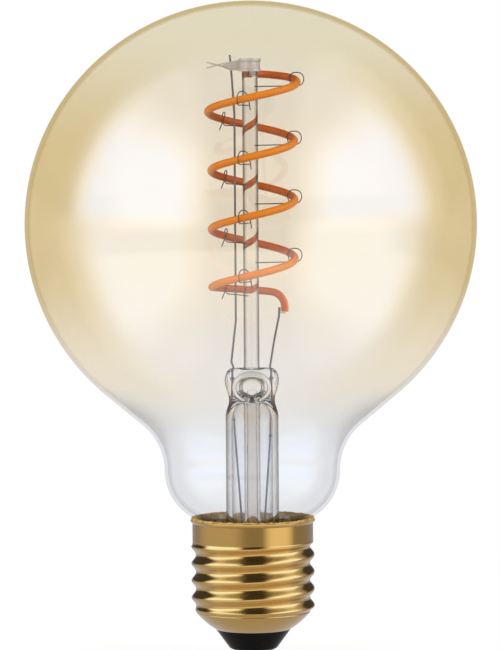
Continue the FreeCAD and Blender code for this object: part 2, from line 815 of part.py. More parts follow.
def build():
    supports = make_support_wires()
    leads = make_leads()
    neutral_wire = make_neutral_wire()
    rod_collar = make_rod_collar()
    parts = {
        "globe_glass": make_globe_glass(),
        "stem": with_holes(make_stem(), leads.values()),
        "exhaust_tube": make_exhaust_tube(),
        "support_rod": with_holes(make_support_rod(), supports.values()),
        "rod_collar": rod_collar,
        "filament": make_filament(),
        "filament_top_tab": make_filament_top_tab(rod_collar),
        "filament_bottom_tab": make_filament_bottom_tab(),
        "screw_shell": make_screw_shell(),
        "insulator": make_insulator(),
        "contact_plate": make_contact_plate(),
        "contact_nail": make_contact_nail(),
        "cap_cement": make_cap_cement().cut(neutral_wire),
        "driver_board": with_holes(make_driver_board(), list(leads.values()) + [neutral_wire]),
        "smoothing_capacitor": make_smoothing_capacitor(),
        "bridge_rectifier": chip_body(rectifier_length, rectifier_width, rectifier_height,
                                      -component_offset_x, -component_offset_y),
        "driver_chip": chip_body(chip_length, chip_width, chip_height,
                                 component_offset_x, -component_offset_y),
        "fuse_resistor": make_fuse_resistor(),
        "live_wire": make_live_wire(),
        "insulating_sleeve": make_insulating_sleeve(),
        "neutral_wire": neutral_wire,
    }
    parts.update(supports)
    parts.update(leads)
    return parts


os.makedirs("parts", exist_ok=True)
for part_name, shape in build().items():
    shape.exportStep("parts/%s.step" % part_name)
    print("%-20s %d solid, %9.2f mm3, valid %s" % (
        part_name, len(shape.Solids), shape.Volume, shape.isValid()))
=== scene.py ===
# %% [markdown]
# # A globe bulb in tinted glass
#
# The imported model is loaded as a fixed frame: each piece of the bulb is already there at its real
# size, in metres, with +Z from the centre contact up to the crown. This lesson gives the pieces
# their finishes, models smoother glass over the frame's, and sets up the light and the camera.

# %% Load the frame
import json
import math

import bpy
from mathutils import Euler, Matrix, Vector


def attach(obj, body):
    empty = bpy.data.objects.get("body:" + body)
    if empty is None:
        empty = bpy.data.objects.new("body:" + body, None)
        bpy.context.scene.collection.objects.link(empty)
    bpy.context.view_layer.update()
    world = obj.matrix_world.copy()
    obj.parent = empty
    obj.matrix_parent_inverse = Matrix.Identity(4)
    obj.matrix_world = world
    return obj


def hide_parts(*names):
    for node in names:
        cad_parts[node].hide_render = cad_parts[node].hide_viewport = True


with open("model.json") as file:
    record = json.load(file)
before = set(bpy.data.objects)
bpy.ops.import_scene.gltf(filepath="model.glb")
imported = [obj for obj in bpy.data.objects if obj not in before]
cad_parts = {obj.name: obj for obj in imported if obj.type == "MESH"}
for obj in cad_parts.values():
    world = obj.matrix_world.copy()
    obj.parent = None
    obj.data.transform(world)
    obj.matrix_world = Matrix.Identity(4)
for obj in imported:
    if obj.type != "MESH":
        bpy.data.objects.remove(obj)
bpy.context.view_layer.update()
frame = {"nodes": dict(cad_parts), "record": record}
nodes = frame["nodes"]
scene = bpy.context.scene
print("loaded", len(nodes), "pieces of the bulb")

# %% [markdown]
# ## The camera
#
# The bulb is seen from a little above its middle through a long lens, so the crown is seen almost
# level and the cap slightly from above. A wide lens close by would pull the globe out of round, so
# the camera stands well away. Its focal length is worked out from the size of a pixel at the
# bulb's axis. The camera also leans by less than half a degree.

# %% Place the camera
lens_distance = 0.860
lens_height = 0.1187
lens_aside = -0.0003
pitch_down = math.radians(3.22)
lean = math.radians(-0.38)
metres_per_pixel = 0.0002113
picture_height = 650
film_height = 36.0

camera_data = bpy.data.cameras.new("camera")
camera = bpy.data.objects.new("camera", camera_data)
scene.collection.objects.link(camera)
scene.camera = camera
camera_data.sensor_fit = "AUTO"
camera_data.sensor_width = film_height
camera_data.lens = film_height * lens_distance / metres_per_pixel / picture_height
camera_data.clip_start = 0.01
camera_data.clip_end = 50.0
camera.location = (lens_aside, -lens_distance, lens_height)
aim = Euler((math.pi / 2 - pitch_down, 0.0, 0.0)).to_matrix() @ Matrix.Rotation(lean, 3, "Z")
camera.rotation_euler = aim.to_euler()
print("lens %.1f mm at %.2f m" % (camera_data.lens, lens_distance))

# %% [markdown]
# ## A way to write finishes
#
# A finish is a small tree of shader nodes. It could be built node by node, but sums and products
# are easier to read, so one class wraps a socket and turns Python's operators into Math nodes. Its
# `between` makes a soft edge, which is what most masks on glass and in a room of light are.

# %% A value in a shader
class Amount:
    """A number that changes over a surface. Operators on it add Math nodes."""

    def __init__(self, tree, socket):
        self.tree = tree
        self.socket = socket

    def __add__(self, other):
        return self.tree.math("ADD", self, other)

    def __radd__(self, other):
        return self.tree.math("ADD", other, self)

    def __sub__(self, other):
        return self.tree.math("SUBTRACT", self, other)

    def __rsub__(self, other):
        return self.tree.math("SUBTRACT", other, self)

    def __mul__(self, other):
        return self.tree.math("MULTIPLY", self, other)

    def __rmul__(self, other):
        return self.tree.math("MULTIPLY", other, self)

    def __truediv__(self, other):
        return self.tree.math("DIVIDE", self, other)

    def __pow__(self, other):
        return self.tree.math("POWER", self, other)

    def between(self, low, high):
        """0 below low, 1 above high, and a smooth rise from one to the other."""
        return self.tree.amount("ShaderNodeMapRange", 0, {"interpolation_type": "SMOOTHSTEP"},
                                {"Value": self, "From Min": low, "From Max": high})


# %% [markdown]
# A second class holds the tree itself. One method makes any kind of node from its type, its
# settings and its sockets. The short methods after it only save writing for the nodes that come
# back again and again.

# %% A tree of nodes
class Finish:
    """The node tree of one material, or of the world."""

    def __init__(self, name, holder=None):
        self.material = holder or bpy.data.materials.new(name)
        self.material.use_nodes = True
        self.nodes = self.material.node_tree.nodes
        self.links = self.material.node_tree.links
        self.nodes.clear()

    def feed(self, socket, value):
        if isinstance(value, Amount):
            value = value.socket
        if isinstance(value, bpy.types.NodeSocket):
            self.links.new(value, socket)
        elif isinstance(value, tuple) and len(value) == 3 and socket.type == "RGBA":
            socket.default_value = value + (1.0,)
        else:
            socket.default_value = value

    def node(self, kind, settings=None, inputs=None):
        made = self.nodes.new(kind)
        for name, value in (settings or {}).items():
            setattr(made, name, value)
        for name, value in (inputs or {}).items():
            self.feed(made.inputs[name], value)
        return made

    def amount(self, kind, output, settings=None, inputs=None):
        return Amount(self, self.node(kind, settings, inputs).outputs[output])

    def math(self, operation, *values):
        return self.amount("ShaderNodeMath", 0, {"operation": operation}, dict(enumerate(values)))

    def vector(self, operation, output, *values):
        return self.amount("ShaderNodeVectorMath", output, {"operation": operation},
                           dict(enumerate(values)))

    def place(self):
        return self.node("ShaderNodeTexCoord").outputs["Object"]

    def along(self, axis):
        """Where a point lies along the piece's X, Y or Z, in metres."""
        return self.amount("ShaderNodeSeparateXYZ", axis, inputs={"Vector": self.place()})

    def facing(self):
        """0 where the eye meets the surface squarely, 1 where it only grazes it."""
        return self.amount("ShaderNodeLayerWeight", "Facing", inputs={"Blend": 0.5})

    def ray(self, kind):
        return self.amount("ShaderNodeLightPath", kind)

    def blend(self, share, first, second):
        """A colour between two others, by a share from 0 to 1."""
        made = self.node("ShaderNodeMix", {"data_type": "RGBA"}, {0: share, 6: first, 7: second})
        return made.outputs[2]

    def mixed(self, share, first, second):
        """A shader between two others, by a share from 0 to 1."""
        return self.node("ShaderNodeMixShader", inputs={0: share, 1: first, 2: second}).outputs[0]

    def noise(self, scale, detail):
        return self.amount("ShaderNodeTexNoise", 0,
                           inputs={"Vector": self.place(), "Scale": scale, "Detail": detail})

    def bump(self, height, distance):
        made = self.node("ShaderNodeBump",
                         inputs={"Height": height, "Distance": distance, "Strength": 1.0})
        return made.outputs[0]

    def surface(self, shader):
        end = self.node("ShaderNodeOutputMaterial")
        self.links.new(shader, end.inputs["Surface"])
        return self.material

    def principled(self, inputs):
        return self.node("ShaderNodeBsdfPrincipled", inputs=inputs).outputs[0]

    def clear(self, colour):
        """A shader that lets light straight through, tinted with a colour."""
        return self.node("ShaderNodeBsdfTransparent", inputs={"Color": colour}).outputs[0]


# %% [markdown]
# ## The light
#
# Clear glass and polished brass show what stands round them more than their own surface, so the
# room matters as much as the lamps. Boards and cards round the bulb would be seen through the
# globe, so the room is painted on the world instead, by direction: sideways, away from the camera
# and up. Each part of it is a product of soft edges.

# %% Directions in the world
world = bpy.data.worlds.new("white_studio")
scene.world = world
sky = Finish("white_studio", world)
direction = sky.node("ShaderNodeTexCoord").outputs["Generated"]
heading = sky.node("ShaderNodeSeparateXYZ", inputs={"Vector": direction})
sideways = Amount(sky, heading.outputs["X"])
away = Amount(sky, heading.outputs["Y"])
up = Amount(sky, heading.outputs["Z"])
down = 0.0 - up


def aim_at(azimuth, elevation):
    """The direction at two angles in degrees. Azimuth 0 is the camera's side."""
    side = math.radians(azimuth)
    rise = math.radians(elevation)
    return (math.sin(side) * math.cos(rise), -math.cos(side) * math.cos(rise), math.sin(rise))


def glow(azimuth, elevation, reach, core):
    """1 within the core angle of a direction, 0 past the reach, and a soft edge between."""
    nearness = sky.vector("DOT_PRODUCT", "Value", direction, aim_at(azimuth, elevation))
    return nearness.between(math.cos(math.radians(reach)), math.cos(math.radians(core)))


print("world", world.name)

# %% [markdown]
# A photographer lights such a bulb with a large softbox on each side of the camera. Each is a
# block of directions with soft edges, given as where a fade starts and ends. The softboxes are
# blue, because they are only seen in amber glass and in brass, and there they come out white.

# %% Softboxes
softbox_light = 2.8
softbox_colour = (0.43, 0.63, 1.0)
left_box = (0.28, 0.66)
right_box = (0.36, 0.72)
box_back = (-0.05, 0.36)
box_foot = (-0.08, 0.14)
box_head = (0.50, 0.88)
soft_share = (0.0 - sideways).between(*left_box) + sideways.between(*right_box)
soft_share = soft_share * (1.0 - away.between(*box_back))
soft_share = soft_share * up.between(*box_foot) * (1.0 - up.between(*box_head))
print("softboxes at", softbox_light, "times white")

# %% [markdown]
# Behind the softboxes there are dimmer walls, which reach further back on the right. Below them,
# at eye level, a weak light goes all round, with two brighter stretches. The right one gives the
# plain brass band its bright streak.

# %% Walls and light at eye level
wall_light = 0.50
wall_end = 0.28 + 0.30 * sideways.between(-0.1, 0.1)
wall_fade = 0.2
over_eyes = up.between(-0.02, 0.10)
walls = sky.math("ABSOLUTE", sideways).between(0.25, 0.45) * over_eyes
walls = walls * (1.0 - away.between(wall_end - wall_fade, wall_end))
left_stretch = 0.30 * glow(-70.0, -6.0, reach=65.0, core=20.0)
right_stretch = 0.85 * glow(52.0, -6.0, reach=36.0, core=10.0)
eye_level = 0.28 + left_stretch + right_stretch
lights = softbox_light * soft_share + wall_light * walls + eye_level * (1.0 - over_eyes)
print("walls at", wall_light, "times white")

# %% [markdown]
# Below is a white table, darker straight under the bulb and on its far side, and behind the bulb
# is a small white backdrop. What is left is a dark room, and that keeps the reflections clear.

# %% Table, backdrop and dark room
room_light = 0.07
table_light = 1.1
under_light = 0.5
table = down.between(0.17, 0.23)
under = sky.math("MAXIMUM", down.between(0.35, 0.95), away.between(-0.3, 0.3))
table_shade = table_light + (under_light - table_light) * under
backdrop = glow(180.0, 0.0, reach=15.0, core=6.0)
mirrored = room_light + lights * (1.0 - table) + table * table_shade
mirrored = mirrored * (1.0 - backdrop) + backdrop
print("table at", table_light, "times white, dark room at", room_light)

# %% [markdown]
# Each kind of ray then gets its own world. The camera sees plain white, a mirror sees the room,
# and light for dull surfaces is even. Rays that are bent by thick glass see white too, but it dims
# towards the floor and the ceiling, which gives the glass mount its grey edges.

# %% A world for each kind of ray
plain_light = 0.45
glass_level = 1.0 - 0.80 * sky.math("ABSOLUTE", up).between(0.30, 0.90)
camera_ray = sky.ray("Is Camera Ray")
glass_ray = sky.ray("Is Transmission Ray")
mirror_ray = sky.ray("Is Glossy Ray") * (1.0 - glass_ray)
other_ray = 1.0 - camera_ray - glass_ray - mirror_ray
strength = camera_ray + glass_ray * glass_level + mirror_ray * mirrored + other_ray * plain_light
tone = sky.blend(soft_share * mirror_ray, (1.0, 1.0, 1.0), softbox_colour)
background = sky.node("ShaderNodeBackground", inputs={"Color": tone, "Strength": strength})
world_end = sky.node("ShaderNodeOutputWorld")
sky.links.new(background.outputs[0], world_end.inputs["Surface"])
print(world.name, len(sky.nodes), "nodes")

# %% [markdown]
# Two square lamps light the filament, the wires and the insulator from the front. They stand
# where the softboxes are, but mirror and glass rays don't see them, or they would show as hard
# squares in the globe.

# %% Lamps for what is dull
globe_middle = Vector((0.0, 0.0, 0.0917))
lamp_distance = 1.0
lamp_size = 0.8
lamp_power = 8.0


def lamp(name, azimuth, elevation):
    """A square lamp that faces the globe."""
    outward = Vector(aim_at(azimuth, elevation))
    data = bpy.data.lights.new(name, "AREA")
    data.size = lamp_size
    data.energy = lamp_power
    thing = bpy.data.objects.new(name, data)
    scene.collection.objects.link(thing)
    thing.location = globe_middle + outward * lamp_distance
    thing.rotation_euler = outward.to_track_quat("Z", "Y").to_euler()
    thing.visible_glossy = False
    thing.visible_transmission = False


lamp("left_lamp", azimuth=-55.0, elevation=30.0)
lamp("right_lamp", azimuth=60.0, elevation=30.0)
print("2 lamps of", lamp_power, "W")

# %% [markdown]
# ## The floor
#
# The bulb stands on a plain white floor. A dull floor alone would come out grey, and a shadow
# catcher needs a transparent picture. So the floor itself gives off most of its white, and only a
# dull share near the cap takes a faint shadow, which fades out with distance. From below it is
# clear, so that the contact can be seen. Mirror and glass rays pass through it to the white table
# of the world.

# %% White floor
shadow_start = 0.06
shadow_end = 0.20
given_off = 0.92
taking_shadow = 0.09
bounced = 0.8
ground = Finish("white_floor")


def glowing(strength):
    return ground.node("ShaderNodeEmission", inputs={"Strength": strength}).outputs[0]


def dull_white(value):
    return ground.principled({"Base Color": (value, value, value), "Roughness": 1.0,
                              "Specular IOR Level": 0.0})


near_white = ground.node("ShaderNodeAddShader",
                         inputs={0: glowing(given_off), 1: dull_white(taking_shadow)})
far = ground.vector("LENGTH", "Value", ground.place()).between(shadow_start, shadow_end)
seen = ground.mixed(far, near_white.outputs[0], glowing(1.0))
solid = ground.mixed(ground.ray("Is Camera Ray"), dull_white(bounced), seen)
from_below = ground.amount("ShaderNodeNewGeometry", "Backfacing")
passing = ground.ray("Is Glossy Ray") + ground.ray("Is Transmission Ray") + from_below
passing = ground.math("MINIMUM", passing, 1.0)
white_floor = ground.surface(ground.mixed(passing, solid, ground.clear((1.0, 1.0, 1.0))))
print("white_floor", len(ground.nodes), "nodes")

# %% [markdown]
# The floor itself is a plain square, so wide that its edges are out of sight, and a hair below the
# contact.

# %% Lay the floor
floor_size = 3.0
floor_drop = 0.0002
bpy.ops.object.select_all(action="DESELECT")
bpy.ops.mesh.primitive_plane_add(size=floor_size, location=(0.0, 0.0, -floor_drop))
floor = bpy.context.object
floor.name = "floor"
floor.data.materials.append(white_floor)
print("floor", floor_size, "m wide")

# %% [markdown]
# ## The globe's glass
#
# The globe is blown, so its surface has no flats at all. The frame's globe is a mesh of loose
# triangles, and glass shows each of them, so a smoother one is turned here with the sizes of the
# frame's globe: a bowl, a straight cone, a bend into the neck, a round shoulder and the narrow
# throat that goes down into the cap.

# %% Sizes of the globe
MM = 0.001
globe_width = 95.5
globe_height = 94.2
globe_wall = 0.7
cone_slope = math.radians(50.0)
neck_radius = 18.6
neck_over_rim = 10.35
neck_fillet = 12.7
shoulder_round = 11.4
throat_radius = 11.2
throat_round = 1.2
rim_top = 29.2
seal_foot = 19.7
print("globe", globe_width, "by", globe_height, "mm, wall", globe_wall, "mm")

# %% [markdown]
# The side view is worked out and not typed point by point. Each stretch starts where the last one
# ends and in the same direction, so the glass has no crease. The same function gives the inner
# side of the wall, with every size inset by the wall.

# %% The side of the globe
bowl_steps = 72
bend_steps = 16
throat_steps = 6


def arc_points(centre, radius, start, end, steps, squash=1.0):
    """Points of a round stretch in the plane of radius and height, angles in radians."""
    turns = [start + (end - start) * step / steps for step in range(steps + 1)]
    return [(centre[0] + radius * math.cos(turn), centre[1] + radius * squash * math.sin(turn))
            for turn in turns]


def bowl_and_cone(inset):
    """Half width, flatness, angle where the cone leaves, and height from there to the neck's bend."""
    half_width = globe_width / 2 - inset
    flat = (globe_height / 2 - inset) / half_width
    meet = math.atan(flat * math.tan(cone_slope))
    foot = (half_width * math.cos(meet), -half_width * flat * math.sin(meet))
    fillet = neck_fillet + inset
    reach = foot[0] + fillet * math.cos(cone_slope) - (neck_radius - inset) - fillet
    run = reach / math.sin(cone_slope)
    drop = foot[1] - run * math.cos(cone_slope) - fillet * math.sin(cone_slope)
    return half_width, flat, meet, drop


def globe_side(inset):
    """The side of the glass from the crown to the foot of the throat, in millimetres."""
    centre = rim_top + neck_over_rim - bowl_and_cone(0.0)[3]
    half_width, flat, meet, drop = bowl_and_cone(inset)
    bend_height = centre + drop
    fillet = neck_fillet + inset
    neck = neck_radius - inset
    shoulder = shoulder_round - inset
    throat = throat_radius - inset
    hollow = throat_round + inset
    across = throat + hollow - (neck - shoulder)
    fall = math.sqrt((shoulder + hollow) ** 2 - across ** 2)
    turn = math.atan2(fall, across)
    side = arc_points((0.0, centre), half_width, math.pi / 2, -meet, bowl_steps, flat)
    side += arc_points((neck + fillet, bend_height), fillet, math.pi - cone_slope, math.pi, bend_steps)
    side += arc_points((neck - shoulder, bend_height), shoulder, 0.0, -turn, bend_steps)[1:]
    side += arc_points((throat + hollow, bend_height - fall), hollow, math.pi - turn, math.pi,
                       throat_steps)[1:]
    side.append((throat, seal_foot))
    return side


print(len(globe_side(0.0)), "points on the side of the globe")

# %% [markdown]
# What is blown or turned can be made in Blender as on a lathe. A Screw modifier would do, but Spin
# in edit mode leaves a plain mesh at once. A tiny plane is merged into one vertex, the vertex is
# extruded along the side view, and the line is spun round the axis. Where the spin ends on its
# start, double points are merged.

# %% A lathe
weld_gap = 0.001
smooth_angle = 40.0


def lathe(name, profile, steps, crease=smooth_angle):
    """Extrudes a vertex along a profile in millimetres and spins it about the axis."""
    bpy.ops.object.select_all(action="DESELECT")
    bpy.ops.mesh.primitive_plane_add(size=MM, location=(0.0, 0.0, 0.0))
    piece = bpy.context.object
    piece.name = name
    bpy.ops.object.mode_set(mode="EDIT")
    bpy.ops.mesh.merge(type="CENTER")
    start = Vector((profile[0][0] * MM, 0.0, profile[0][1] * MM))
    bpy.ops.transform.translate(value=start)
    for (radius, height), (next_radius, next_height) in zip(profile, profile[1:]):
        step = ((next_radius - radius) * MM, 0.0, (next_height - height) * MM)
        bpy.ops.mesh.extrude_region_move(TRANSFORM_OT_translate={"value": step})
    bpy.ops.mesh.select_all(action="SELECT")
    bpy.ops.mesh.spin(steps=steps, angle=2 * math.pi, center=(0.0, 0.0, 0.0), axis=(0.0, 0.0, 1.0))
    bpy.ops.mesh.select_all(action="SELECT")
    bpy.ops.mesh.remove_doubles(threshold=weld_gap * MM)
    bpy.ops.mesh.normals_make_consistent(inside=False)
    bpy.ops.object.mode_set(mode="OBJECT")
    bpy.ops.object.transform_apply(location=True, rotation=True, scale=True)
    bpy.ops.object.shade_smooth_by_angle(angle=math.radians(crease))
    print(name, len(piece.data.polygons), "faces")
    return piece


# %% [markdown]
# The globe is a closed wall: its side view runs down the outside and back up the inside. A single
# sheet with a Solidify modifier would be shorter. With both sides worked out, the wall is the same
# as the frame's down to its foot, where it ends level.

# %% Turn the globe
globe_steps = 160
outside = globe_side(0.0)
inside = globe_side(globe_wall)
globe = lathe("blown_globe", outside + inside[::-1], globe_steps)
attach(globe, "root")
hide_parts("globe_glass")

# %% [markdown]
# ## Cement under the glass
#
# Cement holds the glass in the cap. When the glass is pressed home, some of it comes up between
# the shoulder of the glass and the rim. The frame has the cement as a plain ring. This piece fills
# the wedge above it as well. It is turned like the globe, and its side view follows the cap on one
# side and the glass on the other.

# %% Turn the cement
band_inside = 12.55
band_top = 28.4
rim_inside = 13.05
rim_foot = 29.1
rim_lip = 29.45
cement_foot = 24.6
cement_head = 29.7
glass_gap = 0.02
shoulder_side = 15.0
cement_steps = 240
cement_crease = 60.0
glass_side = [(radius, height) for radius, height in globe_side(-glass_gap)
              if height < cement_head and radius < shoulder_side and height > cement_foot]
cap_side = [(band_inside, cement_foot), (band_inside, band_top), (rim_inside, rim_foot),
            (rim_inside, rim_lip)]
cement_corner = [(throat_radius, cement_foot)]
ragged = lathe("cement_ring", cement_corner + cap_side + glass_side + cement_corner, cement_steps,
               cement_crease)

# %% [markdown]
# Cement sets with a ragged edge where it was pressed out. The Randomize tool moves the points of
# the upper edge a little. It has a fixed seed, so the edge comes out the same at each run.

# %% Roughen the upper edge
ragged_over = 29.3
ragged_by = 0.14
ragged_seed = 5
bpy.context.view_layer.objects.active = ragged
bpy.ops.object.mode_set(mode="EDIT")
bpy.ops.mesh.select_all(action="DESELECT")
bpy.ops.object.mode_set(mode="OBJECT")
for point in ragged.data.vertices:
    point.select = point.co.z > ragged_over * MM
print(sum(point.select for point in ragged.data.vertices), "points of the cement moved")
bpy.ops.object.mode_set(mode="EDIT")
bpy.ops.transform.vertex_random(offset=ragged_by * MM, uniform=1.0, normal=0.0,
                              seed=ragged_seed)
bpy.ops.object.mode_set(mode="OBJECT")
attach(ragged, "root")
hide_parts("cap_cement")

# %% [markdown]
# ## The glass mount
#
# A flared tube, an exhaust tube and a rod are melted into one piece of glass, which is pressed
# flat while soft to seal the wires in. Where the frame has them as three solids, light would break
# at each place where they meet, so they are modelled here as one skin. It starts as a circle at the
# rod's head and goes down the rod, out into the flat press, on into the tube and the flare, back up
# inside and down along the exhaust tube. Each section is a width, a thickness and a height.

# %% Sections of the mount
rod_width = 3.3
tube_width = 11.2
bore_width = 8.8
exhaust_width = 3.4
rod_head = 126.3
press_sections = [
    (rod_width, rod_width, 61.6), (3.6, 3.34, 61.0), (5.2, 3.4, 60.85), (7.4, 3.5, 61.2),
    (9.0, 3.8, 61.15), (10.3, 4.2, 60.6), (11.1, 4.5, 59.8), (11.5, 4.6, 58.8),
    (11.3, 4.6, 57.6), (10.6, 4.75, 56.4), (9.9, 5.2, 55.3), (9.7, 5.8, 54.6), (9.8, 7.0, 53.7),
    (10.4, 8.8, 52.8), (10.9, 10.3, 52.0), (tube_width, tube_width, 51.2)]
flare_centre = (10.5, 25.8)
flare_steps = 8
flare_side = arc_points(flare_centre, flare_centre[0] - tube_width / 2, math.pi, 1.5 * math.pi,
                        flare_steps)
flare_under = arc_points(flare_centre, flare_centre[0] - bore_width / 2, 1.5 * math.pi, math.pi,
                         flare_steps)
flare_sections = [(2 * radius, 2 * radius, height) for radius, height in flare_side + flare_under]
hollow_sections = [
    (bore_width, bore_width, 50.1), (8.2, 7.6, 51.0), (7.4, 6.0, 52.1), (6.6, 4.8, 53.0),
    (5.4, 4.0, 53.6), (4.1, 3.6, 53.5), (exhaust_width, exhaust_width, 52.9)]
tip_sections = [(exhaust_width, exhaust_width, 17.7), (3.0, 3.0, 16.2), (2.2, 2.2, 15.1),
                (1.0, 1.0, 14.4)]
mount_sections = ([(rod_width, rod_width, rod_head)] + press_sections + flare_sections
                  + hollow_sections + tip_sections)
print(len(mount_sections), "sections of the mount")

# %% [markdown]
# The skin is drawn in one go. A lathe can't do it, because the press is flat. So each step is an
# extrusion and a resize, with its own factors for width and thickness, and round sections turn
# into flat ones and back again.

# %% Draw the mount
mount_corners = 64


def drawn_through(name, sections, corners):
    """Extrudes a filled circle through a list of widths, thicknesses and heights."""
    width, thickness, height = sections[0]
    bpy.ops.object.select_all(action="DESELECT")
    bpy.ops.mesh.primitive_circle_add(vertices=corners, radius=width / 2 * MM, fill_type="NGON",
                                      location=(0.0, 0.0, height * MM))
    piece = bpy.context.object
    piece.name = name
    bpy.ops.object.mode_set(mode="EDIT")
    for next_width, next_thickness, next_height in sections[1:]:
        step = (0.0, 0.0, (next_height - height) * MM)
        bpy.ops.mesh.extrude_region_move(TRANSFORM_OT_translate={"value": step})
        bpy.ops.transform.resize(value=(next_width / width, next_thickness / thickness, 1.0),
                                 center_override=(0.0, 0.0, next_height * MM))
        width, thickness, height = next_width, next_thickness, next_height
    bpy.ops.mesh.select_all(action="SELECT")
    bpy.ops.mesh.normals_make_consistent(inside=False)
    bpy.ops.object.mode_set(mode="OBJECT")
    bpy.ops.object.transform_apply(location=True, rotation=True, scale=True)
    return piece


mount = drawn_through("glass_mount", mount_sections, mount_corners)
print("glass_mount", len(mount.data.polygons), "faces")

# %% [markdown]
# The exhaust tube, through which the bulb is pumped out, is hollow and opens into the globe by a
# blow hole in the front of the press. Both are cut with a Boolean modifier that is applied at
# once: a long cylinder for the bore and a stretched ball for the hole.

# %% Cut the exhaust bore and the blow hole
bore_radius = 1.1
bore_foot = 17.9
bore_head = 56.4
bore_corners = 48
hole_forward = 2.5
hole_height = 57.2
hole_half_sizes = (2.8, 2.2, 2.2)


def cut_away(piece, cutter):
    """Takes a cutter's shape out of a piece and deletes the cutter."""
    bpy.ops.object.select_all(action="DESELECT")
    bpy.context.view_layer.objects.active = piece
    piece.select_set(True)
    cut = piece.modifiers.new("cut", "BOOLEAN")
    cut.operation = "DIFFERENCE"
    cut.solver = "EXACT"
    cut.object = cutter
    bpy.ops.object.modifier_apply(modifier=cut.name)
    bpy.data.objects.remove(cutter)


bpy.ops.object.select_all(action="DESELECT")
bpy.ops.mesh.primitive_cylinder_add(vertices=bore_corners, radius=bore_radius * MM,
                                    depth=(bore_head - bore_foot) * MM,
                                    location=(0.0, 0.0, (bore_head + bore_foot) / 2 * MM))
cut_away(mount, bpy.context.object)
bpy.ops.mesh.primitive_uv_sphere_add(segments=bore_corners, ring_count=bore_corners // 2,
                                     radius=MM, scale=hole_half_sizes,
                                     location=(0.0, -hole_forward * MM, hole_height * MM))
cut_away(mount, bpy.context.object)
mount.select_set(True)
bpy.context.view_layer.objects.active = mount
bpy.ops.object.shade_smooth_by_angle(angle=math.radians(smooth_angle))
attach(mount, "root")
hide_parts("stem", "support_rod", "exhaust_tube")
print("glass_mount", len(mount.data.polygons), "faces after the cuts")

# %% [markdown]
# ## Tinted glass
#
# The globe's wall is thin, so it hardly bends what is seen through it. Real glass in Cycles would
# be noisy here and would darken what is inside. So the finish lets light straight through,
# coloured by an amber coat, and mirrors a small share of the room. The coat looks strongest near
# the edge, is greyer at the crown, pales on the cone and ends at the neck. Where the cone bends
# into the neck, a darker grey band is painted shade: it stands in for the light that the bend
# breaks and mirrors. Each of these places is a soft mask, by height or by how squarely the eye
# meets the glass.

# %% Where the coat changes
film = Finish("amber_glass")
facing = film.facing()
height = film.along("Z")
edge = facing.between(0.24, 0.52)
crown = height.between(0.106, 0.134)
low = (0.084 - height).between(0.0, 0.024)
neck = (0.062 - height).between(0.0, 0.016)
# Painted shade: a band where the cone bends into the neck, strongest where the eye grazes the glass.
painted_bend_shade = height.between(0.042, 0.047) * (1.0 - height.between(0.051, 0.058))
painted_bend_shade = painted_bend_shade * facing.between(0.50, 0.80)
print(len(film.nodes), "nodes mask the coat")

# %% [markdown]
# Near its outline the globe looks darker still. Part of this is the longer path through the coat,
# and part is painted shade: the dark room that glass mirrors where the eye grazes it is put into
# the colour. But within a wall's thickness of the outline the eye looks only through the outer
# side, so an even coat would look pale there, with a dark line where the inner side begins. The
# darker tint is put on the outer side alone. It is told from the inner side by its distance from
# the middle, as a share of the bowl's own size. Below the bowl both sides take it, and on the
# neck, which is narrower, it starts sooner.

# %% The outline of the outer side
half_width = globe_width / 2 * MM
half_height = globe_height / 2 * MM
side_share = film.along("X") / half_width
depth_share = film.along("Y") / half_width
rise_share = (height - globe_middle.z) / half_height
bowl_share = (side_share * side_share + depth_share * depth_share + rise_share * rise_share) ** 0.5
outer_side = bowl_share.between(0.990, 0.995)
rim = facing.between(0.75 - 0.09 * neck, 0.86 - 0.10 * neck) * outer_side

# %% [markdown]
# Light crosses four faces on its way through the globe. The colours are chosen as the whole globe
# shows them, so the colour of one face is the fourth root of each. First comes the colour in the
# middle, then the one near the edge.

# %% Colours of the coat
faces_crossed = 4


def whole(red, green, blue):
    """A clear shader for one face, from the colour of all the faces together."""
    return film.clear(tuple(value ** (1.0 / faces_crossed) for value in (red, green, blue)))


amber = film.mixed(edge, whole(0.91, 0.79, 0.61), whole(0.80, 0.63, 0.335))
grey = film.mixed(edge, whole(0.90, 0.83, 0.68), whole(0.89, 0.82, 0.62))
pale = film.mixed(edge, whole(0.94, 0.90, 0.85), whole(0.94, 0.84, 0.66))
bare = film.mixed(edge, whole(0.85, 0.86, 0.89), whole(0.78, 0.79, 0.82))
coat = film.mixed(low, film.mixed(crown, amber, grey), pale)
coat = film.mixed(neck, coat, bare)
# The grey of the painted shade at the bend into the neck.
coat = film.mixed(painted_bend_shade, coat, whole(0.60, 0.57, 0.53))
# Outline colours: the deeper amber is the longer path through the coat. The darkening is painted shade
# for the dark room mirrored at grazing.
outline = film.mixed(low, whole(0.38, 0.235, 0.065), whole(0.54, 0.47, 0.37))
outline = film.mixed(neck, outline, whole(0.58, 0.59, 0.63))
coat = film.mixed(rim, coat, outline)
mirror_on_bowl = 0.061
mirror_on_neck = 0.025
mirror_share = mirror_on_bowl - (mirror_on_bowl - mirror_on_neck) * neck
mirror = film.principled({"Base Color": (1.0, 1.0, 1.0), "Metallic": 1.0, "Roughness": 0.0})
amber_glass = film.surface(film.mixed(mirror_share, coat, mirror))
print("amber_glass", len(film.nodes), "nodes")
